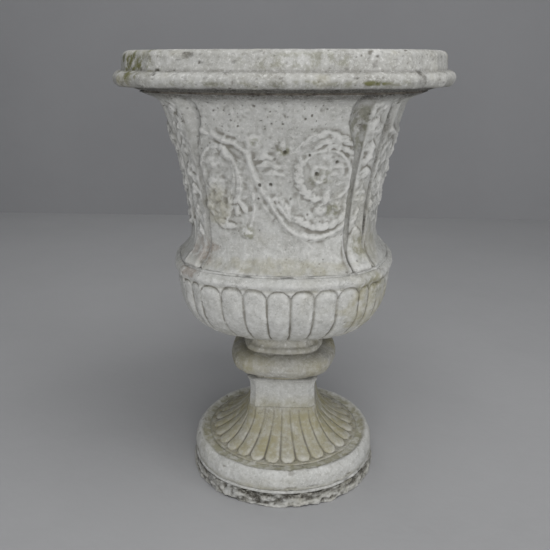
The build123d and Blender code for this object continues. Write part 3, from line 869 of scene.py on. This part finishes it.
def make_bowl():
    bottom, top, _ = extent("bowl")
    floor = bottom + FLOOR_THICKNESS
    outer = smooth_curve(
        [(68, bottom), (94, bottom + 7), (118, bottom + 17), (142, bottom + 29), (161, bottom + 44),
         (175, bottom + 63), (183, bottom + 84), (186, bottom + 106), (188, bottom + 128),
         (190, bottom + 138), (189, bottom + 144), (184, top)],
        FINE)
    inner = joined(
        flat(184, 138, top),
        smooth_curve([(138, top), (154, bottom + 119), (154, bottom + 86), (138, bottom + 54),
                      (108, bottom + 36), (72, floor)], COARSE),
        straight([(72, floor), (ROD_HOLE_RADIUS, floor)], 1.6),
        upright(ROD_HOLE_RADIUS, floor, bottom),
        flat(ROD_HOLE_RADIUS, 68, bottom),
    )
    loop = joined(outer, inner)
    face_share = np.linspace(0, GADROONS_PER_FACE, PLAIN_FACE_COLUMNS, endpoint=False)
    corner_share = np.linspace(0, GADROONS_PER_CORNER, PLAIN_CORNER_COLUMNS, endpoint=False)
    lobes = np.tile(np.concatenate([face_share, corner_share]), 4) % 1 * 2 - 1
    face_lobe = np.full(PLAIN_FACE_COLUMNS, FACE_HALF_WIDTH / GADROONS_PER_FACE)
    corner_lobe = np.full(PLAIN_CORNER_COLUMNS, CORNER_LENGTH / (2 * GADROONS_PER_CORNER))
    lobe_share = np.tile(np.concatenate([face_lobe, corner_lobe]), 4)[None]

    def shape(points):
        z = points[..., 2]
        height, pits = weathered(points, 130, 0.8, 1.0)
        outside = (np.arange(len(loop)) < len(outer))[:, None].astype(float)
        half_width = lobe_share * loop[:, 0][:, None]
        along = bottom + 131 + 2.5 * noise(points, 60, 138) - z
        worn = np.clip(0.75 + 0.45 * fractal(points, 32, 2, 140), 0.2, 1.1)
        drift = 0.05 * noise(points, 16, 142)
        offset = np.clip(lobes[None] + drift, -1, 1)
        low = smoothstep(z, bottom + 2, bottom + 22)
        carving, groove = rounded_lobes(offset, along, half_width, 3.4, 5.0)
        reveal = smoothstep(along, -2, 1) * outside * low
        broken = np.clip(0.65 + 0.8 * fractal(points, 14, 2, 144), 0.1, 1.2)
        height = height + carving * worn * reveal * (0.55 + 0.45 * broken)
        broken = broken * (0.45 + 0.55 * smoothstep(along, 8, 46))
        lip = np.exp(-((z - bottom - 139) / 5.0) ** 2)
        below_lip = np.exp(-((z - bottom - 129) / 3.0) ** 2)
        height = height + outside * (1.2 * lip - 1.0 * below_lip) * worn
        chips = smoothstep(fractal(points, 13, 3, 150), 0.7, 1.3)
        height = height - 2.2 * chips * outside * smoothstep(z, bottom + 126, bottom + 140)
        at_floor = np.abs(z - floor) < 0.5
        for turn in range(4):
            angle = math.pi / 4 + math.pi / 2 * turn
            x = points[..., 0] - DRAIN_CIRCLE_RADIUS * math.cos(angle)
            y = points[..., 1] - DRAIN_CIRCLE_RADIUS * math.sin(angle)
            hole = (np.hypot(x, y) < DRAIN_RADIUS) & at_floor
            height = np.where(hole, height - DRAIN_DEPTH, height)
        gap = groove * reveal * broken
        marks = {
            # painted shade in the gadroon grooves, heavier towards the bottom of the bowl
            "dirt_and_shade": np.clip(0.24 * gap * worn * (0.6 + 0.6 * smoothstep(z, bottom + 90, bottom + 20))
                            + 0.38 * pits, 0, 1),
            "stain": np.clip(
                0.30 * smoothstep(z, bottom + 60, bottom + 10) * outside
                + 0.18 * below_lip * outside + 0.25 * gap
                + 0.55 * patch(points, (140, -120, bottom + 84), (60, 80, 60), 156)
                + 0.2 * smoothstep(fractal(points, 50, 3, 155), 0.2, 1.0), 0, 1),
            "moss_and_shade": 0.35 * patch(points, (150, -120, bottom + 126), (40, 60, 24), 157),
            "bare": 0.5 * patch(points, (-130, -128, bottom + 144), (34, 34, 12), 159),
        }
        return height, marks

    return section("gadrooned_bowl", "bowl", loop, PLAIN, shape, upper_wash)


def make_knop():
    bottom, top, reach = extent("knop")
    loop = joined(
        flat(CORE_RADIUS, 64, bottom),
        smooth_curve([(64, bottom), (64, bottom + 4), (67, bottom + 8), (78, bottom + 11),
                      (90, bottom + 18), (reach - 1, bottom + 27), (reach, bottom + 34),
                      (95, bottom + 43), (88, bottom + 49), (78, bottom + 52), (71, bottom + 53)], FINE),
        smooth_curve([(71, bottom + 53), (73, bottom + 56), (70, bottom + 61), (64, bottom + 64),
                      (62, bottom + 70), (66, top)], FINE),
        flat(66, CORE_RADIUS, top),
        upright(CORE_RADIUS, top, bottom),
    )

    def shape(points):
        z = points[..., 2]
        height, pits = weathered(points, 210, 1.0, 0.8)
        outside = smoothstep(from_axis(points), 52, 60)
        joint = np.exp(-((z - bottom - 53) / 1.8) ** 2) * outside
        smear = smoothstep(fractal(points, 12, 3, 218), 0.35, 0.9) * smoothstep(
            z, bottom + 52, bottom + 66)
        height = height + 1.3 * smear * outside
        marks = {
            # painted shade: darker towards the knop's underside
            "dirt_and_shade": np.clip(0.40 * joint + 0.3 * pits + 0.25 * smoothstep(
                z, bottom + 9, bottom + 2), 0, 1),
            "stain": np.clip(0.30 + 0.4 * fractal(points, 30, 3, 215), 0, 1) * (1 - 0.7 * smear),
        }
        return height, marks

    return section("cushion_knop", "knop", loop, KNOP_PLAN, shape, lower_wash)


def make_stem():
    bottom, top, reach = extent("stem")
    loop = joined(
        flat(CORE_RADIUS, 62, bottom),
        smooth_curve([(62, bottom), (60, bottom + 24), (60.5, bottom + 42), (62, bottom + 50),
                      (reach, top - 3), (reach, top)], 1.6),
        flat(reach, CORE_RADIUS, top),
        upright(CORE_RADIUS, top, bottom),
    )

    def shape(points):
        z = points[..., 2]
        height, pits = weathered(points, 260, 0.7, 0.5)
        marks = {
            # painted shade: darker at the top of the stem, under the knop
            "dirt_and_shade": np.clip(0.25 * pits + 0.3 * smoothstep(z, top - 4, top - 1), 0, 1),
            "stain": 0.55 * smoothstep(z, bottom + 30 + 8 * noise(points, 14, 262), bottom),
        }
        return height, marks

    return section("square_stem", "stem", loop, STEM_PLAN, shape, upper_wash)


REEDS = 28
REED_COLUMNS = 22
REED_CORNER_REACH = 1.25
REED_TIP = 138


def make_foot():
    """Reeds spread from the square stem to the round plinth."""
    bottom, top, _ = extent("foot")
    angle = np.linspace(0, 2 * math.pi, REEDS * REED_COLUMNS, endpoint=False)
    off_face = (angle + math.pi / 4) % (math.pi / 2) - math.pi / 4
    square = np.minimum(1 / np.cos(off_face), REED_CORNER_REACH)
    outer = smooth_curve([(143, bottom), (138, bottom + 1.5), (129, bottom + 6), (112, bottom + 14),
                          (90, bottom + 29), (70, bottom + 50), (62, top)], FINE)
    loop = joined(flat(CORE_RADIUS, 143, bottom), outer,
                  flat(62, CORE_RADIUS, top), upright(CORE_RADIUS, top, bottom))
    squareness = smoothstep(loop[:, 1], bottom + 4, top)[:, None]
    radius = 1 + squareness * (square[None] - 1)
    plan = np.stack([radius * np.cos(angle), radius * np.sin(angle)], axis=-1)
    across = (np.arange(REEDS * REED_COLUMNS) / REED_COLUMNS) % 1 * 2 - 1

    def shape(points):
        z = points[..., 2]
        height, pits = weathered(points, 310, 0.5, 0.6)
        outside = smoothstep(z, bottom - 0.5, bottom + 0.5)
        spread = loop[:, 0][:, None]
        half_width = np.broadcast_to(math.pi / REEDS * spread, height.shape)
        along = REED_TIP - spread + 0 * height
        carving, groove = rounded_lobes(np.broadcast_to(across, height.shape), along, half_width,
                                        3.0, 3.2)
        share = smoothstep(spread, 60, 126)
        fade = smoothstep(z, top + 2, top - 8)
        worn = np.clip(0.9 + 0.35 * fractal(points, 22, 2, 312), 0.35, 1.15)
        beyond = (1 - smoothstep(half_width - np.hypot(np.abs(across)[None] * half_width,
                                                       np.maximum(half_width - along, 0)), -1.5, 0.5))
        height = height + outside * fade * worn * (0.35 + 0.65 * share) * carving
        height = height - 3.0 * beyond * smoothstep(spread, 118, 128) * outside
        marks = {
            # painted shade in the reed grooves, heavier towards their outer ends
            "dirt_and_shade": np.clip(0.3 * pits + (0.12 + 0.38 * share) * groove * outside * fade
                            + 0.10 * beyond * smoothstep(spread, 118, 128), 0, 1),
            "stain": np.clip(0.80 + 0.35 * fractal(points, 26, 3, 315)
                             - 0.20 * smoothstep(spread, 122, 136)
                             - 0.35 * smoothstep(z, top - 16, top), 0, 1),
        }
        return height, marks

    return section("reeded_foot", "foot", loop, plan, shape, lower_wash)


def make_plinth():
    bottom, top, reach = extent("plinth")
    loop = joined(
        flat(ROD_HOLE_RADIUS, reach - 3, bottom),
        arc((reach - 3, bottom + 3), 3, -90, 0, FINE),
        smooth_curve([(reach, bottom + 3), (170, bottom + 17), (168, bottom + 25), (165, bottom + 31),
                      (160, top), (156.5, top - 1), (153, top - 3)], FINE),
        straight([(153, top - 3), (130, top - 3)], FINE),
        flat(130, ROD_HOLE_RADIUS, top - 3),
        upright(ROD_HOLE_RADIUS, top - 3, bottom),
    )

    def shape(points):
        z = points[..., 2]
        height, pits = weathered(points, 360, 1.0, 0.7)
        outside = smoothstep(from_axis(points), 150, 158)
        broken = fractal(points * np.array([1, 1, 1.6]), 20, 4, 365)
        low_edge = smoothstep(z, bottom + 12 + 4 * noise(points, 30, 366), bottom + 2)
        height = height - outside * low_edge * (0.4 + 2.6 * smoothstep(broken, 0.1, 0.9))
        edge = smoothstep(z, bottom + 18, bottom + 28)
        height = height - outside * edge * 2.0 * smoothstep(broken, 0.7, 1.3)
        dish = smoothstep(from_axis(points), 162, 153)
        marks = {
            "dirt_and_shade": np.clip(0.35 * pits + low_edge * outside * (0.12 + 0.5 * smoothstep(broken, 0.1, 0.9)),
                            0, 1),
            "stain": np.clip(0.55 * dish + 0.15 * fractal(points, 40, 3, 370)
                             + 0.35 * low_edge * outside, 0, 1),
            "moss_and_shade": 0.30 * dish,
        }
        return height, marks

    return section("plinth_course", "plinth", loop, ROUND, shape, upper_wash)


def make_base():
    bottom, top, reach = extent("base_slab")
    loop = joined(
        flat(BASE_HOLE_RADIUS, reach - 3, bottom),
        arc((reach - 3, bottom + 3), 3, -90, 0, FINE),
        straight([(reach, bottom + 3), (reach - 1, top - 3), (reach - 6, top)], FINE),
        flat(reach - 6, BASE_HOLE_RADIUS, top),
        upright(BASE_HOLE_RADIUS, top, bottom),
    )

    def shape(points):
        height, pits = weathered(points, 410, 1.2, 1.0)
        outside = smoothstep(from_axis(points), 158, 167)
        rubble = fractal(points * np.array([1, 1, 3.0]), 22, 4, 415)
        grit = fractal(points, 7, 3, 418)
        ledge = smoothstep((points[..., 2] - bottom) / (top - bottom), 0.75, 0.45)
        height = height + outside * (2.6 * rubble + 1.9 * grit - 1.2 + 1.8 * ledge
                                     - 2.4 * smoothstep(rubble, 0.3, 0.9))
        marks = {
            # painted shade: darker in the low hollows of the rough face
            "dirt_and_shade": np.clip(outside * (0.26 + 0.35 * (1 - ledge) + 0.55 * smoothstep(-rubble, 0.0, 0.8)
                                       + 0.55 * smoothstep(-grit, 0.0, 0.8)) + 0.3 * pits, 0, 1),
            "stain": np.clip(0.22 + 0.3 * fractal(points, 30, 3, 420), 0, 1),
        }
        return height, marks

    return section("rough_base", "base_slab", loop, ROUND, shape, upper_wash)


def make_bed(node, inside, foot, head, plan, seed):
    """A mortar joint struck nearly flush and limewashed over."""
    bottom, top, _ = extent(node)
    loop = joined(
        flat(inside, foot, bottom),
        straight([(foot, bottom), (head, top)], 1.0),
        flat(head, inside, top),
        straight([(inside, top), (inside, bottom)], 1.5),
    )

    def shape(points):
        outside = (loop[:, 0] > foot - 4)[:, None].astype(float)
        lumps = fractal(points, 16, 4, seed)
        height = outside * (0.9 * lumps - 0.4)
        return height, {"dirt_and_shade": 0.4 * smoothstep(-lumps, 0.2, 0.9) * outside}

    return section(node + "_joint", node, loop, plan, shape, upper_wash)


make_rim()
make_bell()
make_bowl()
make_knop()
make_stem()
make_foot()
make_plinth()
make_base()
make_bed("bell_bed", 138, 182.5, 181, PLAIN, 501)
make_bed("plinth_bed", CORE_RADIUS, 171.5, 171, ROUND, 511)


def finish_node(name, material):
    for material_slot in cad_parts[name].material_slots:
        material_slot.material = material


finish_node("rim_bed", mortar)
finish_node("bowl_bed", pale_mortar)
for name in ("tie_rod", "top_washer", "top_nut", "bottom_washer", "bottom_nut"):
    finish_node(name, rusty_steel)


# ---- floor, light and camera ----

ground = cad_box[0][2]
WALL_DISTANCE = 2.05
WALL_HEIGHT = 6
HALF_FLOOR = 12


def panel(name, corners, material):
    mesh = bpy.data.meshes.new(name)
    mesh.from_pydata(corners, [], [(0, 1, 2, 3)])
    mesh.update()
    thing = bpy.data.objects.new(name, mesh)
    bpy.context.scene.collection.objects.link(thing)
    thing.data.materials.append(material)
    return thing


near_left = (-HALF_FLOOR, -HALF_FLOOR, ground)
near_right = (HALF_FLOOR, -HALF_FLOOR, ground)
far_left = (-HALF_FLOOR, WALL_DISTANCE, ground)
far_right = (HALF_FLOOR, WALL_DISTANCE, ground)
wall_left = (-HALF_FLOOR, WALL_DISTANCE, WALL_HEIGHT)
wall_right = (HALF_FLOOR, WALL_DISTANCE, WALL_HEIGHT)
panel("studio_floor", [near_left, near_right, far_right, far_left], floor_paint)
panel("studio_wall", [far_left, far_right, wall_right, wall_left], wall_paint)


def softbox(name, place, target, width, height, power):
    light = bpy.data.lights.new(name, "AREA")
    light.shape = "RECTANGLE"
    light.size = width
    light.size_y = height
    light.energy = power
    thing = bpy.data.objects.new(name, light)
    bpy.context.scene.collection.objects.link(thing)
    thing.location = place
    thing.rotation_euler = (Vector(target) - Vector(place)).to_track_quat("-Z", "Y").to_euler()
    return thing


softbox("overhead", (0.4, -0.9, 2.7), (0, 0, 0.4), 1.8, 1.4, 34)
softbox("front_fill", (0.2, -3.2, 0.85), (0, 0, 0.4), 2.2, 1.2, 45)
softbox("right_side", (2.5, -1.2, 1.4), (0, 0, 0.4), 1.2, 1.6, 10)
softbox("rear_fill", (-1.0, 1.7, 2.3), (0, 0, 0.4), 1.4, 0.8, 8)

world = bpy.data.worlds.new("studio_air")
world.use_nodes = True
world.node_tree.nodes["Background"].inputs["Color"].default_value = (0.93, 0.96, 1.0, 1)
world.node_tree.nodes["Background"].inputs["Strength"].default_value = 0.26
bpy.context.scene.world = world
bpy.context.scene.view_settings.view_transform = "Standard"

# fitted to the urn's outlines in the photograph
CAMERA_DISTANCE = 1.106
CAMERA_HEIGHT = 0.739
CAMERA_TURN = 0.045
CAMERA_PITCH = math.radians(18.41)
AIM_LEFT = 0.0148
FOCAL_IN_PICTURE_WIDTHS = 1.16364
SENSOR_WIDTH = 36

camera_data = bpy.data.cameras.new("camera")
camera_data.sensor_width = SENSOR_WIDTH
camera_data.lens = SENSOR_WIDTH * FOCAL_IN_PICTURE_WIDTHS
camera_data.clip_start = 0.05
camera = bpy.data.objects.new("camera", camera_data)
bpy.context.scene.collection.objects.link(camera)
camera.location = (
    CAMERA_DISTANCE * math.sin(CAMERA_TURN),
    -CAMERA_DISTANCE * math.cos(CAMERA_TURN),
    CAMERA_HEIGHT,
)
camera.rotation_euler = (math.pi / 2 - CAMERA_PITCH, 0, CAMERA_TURN + AIM_LEFT)
bpy.context.scene.camera = camera
